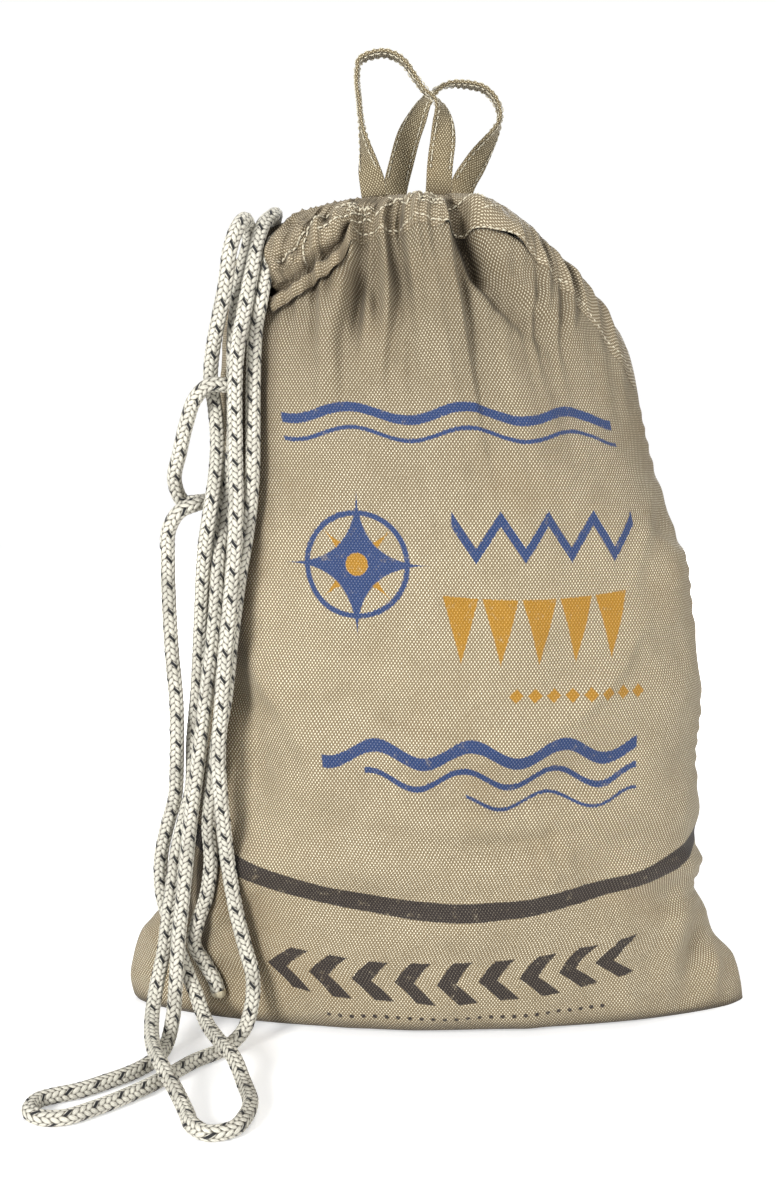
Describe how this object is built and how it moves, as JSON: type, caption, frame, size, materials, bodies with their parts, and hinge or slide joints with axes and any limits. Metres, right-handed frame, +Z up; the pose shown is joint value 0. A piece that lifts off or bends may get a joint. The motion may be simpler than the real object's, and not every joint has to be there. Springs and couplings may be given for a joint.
{
  "type": "throw rope bag",
  "caption": "Standing drawcord sack of coated canvas for a throw rope, with a hem tunnel, a braided drawcord gathered in bights, two carry loops and the coiled line inside.",
  "frame": {"origin": "middle of the underside of the standing sack, without its loose cord", "axes": "+Z up through the mouth, +X to the sack's right as seen from its printed front, -Y out of the printed front"},
  "size_m": [0.3887, 0.2585, 0.5346],
  "materials": {
    "canvas": "coarse plain weave, lightly coated, printed on the front",
    "canvas_inside": "raw folded seam allowance",
    "thread": "sewing thread",
    "braided_cord": "braided polyester, off white with black tracers",
    "melted_tip": "melted cord end",
    "loop_tape": "folded canvas tape",
    "throw_line": "braided line",
    "tie_band": "woven band"
  },
  "bodies": {
    "sack": {"front_panel": "canvas", "back_panel": "canvas", "side_seam_left": "canvas_inside", "side_seam_right": "canvas_inside", "bottom_seam": "canvas_inside", "front_hem": "canvas", "back_hem": "canvas", "front_hem_stitching": "thread", "back_hem_stitching": "thread", "drawcord_in_hem": "braided_cord", "drawcord_long_tail": "braided_cord", "drawcord_short_tail": "braided_cord", "long_tail_tip": "melted_tip", "short_tail_tip": "melted_tip", "front_loop_tacks": "thread", "back_loop_tacks": "thread", "throw_line_coil": "throw_line", "coil_tie": "tie_band"},
    "front_loop": {"front_carry_loop": "loop_tape"},
    "back_loop": {"back_carry_loop": "loop_tape"}
  },
  "joints": [
    {"name": "front_loop_swing", "type": "hinge", "parent": "sack", "child": "front_loop", "pos_m": [-0.019, -0.0185, 0.4616], "axis": [1, 0, 0], "range_deg": [-4, 90]},
    {"name": "back_loop_swing", "type": "hinge", "parent": "sack", "child": "back_loop", "pos_m": [-0.008, 0.0185, 0.4616], "axis": [-1, 0, 0], "range_deg": [-4, 90]}
  ]
}
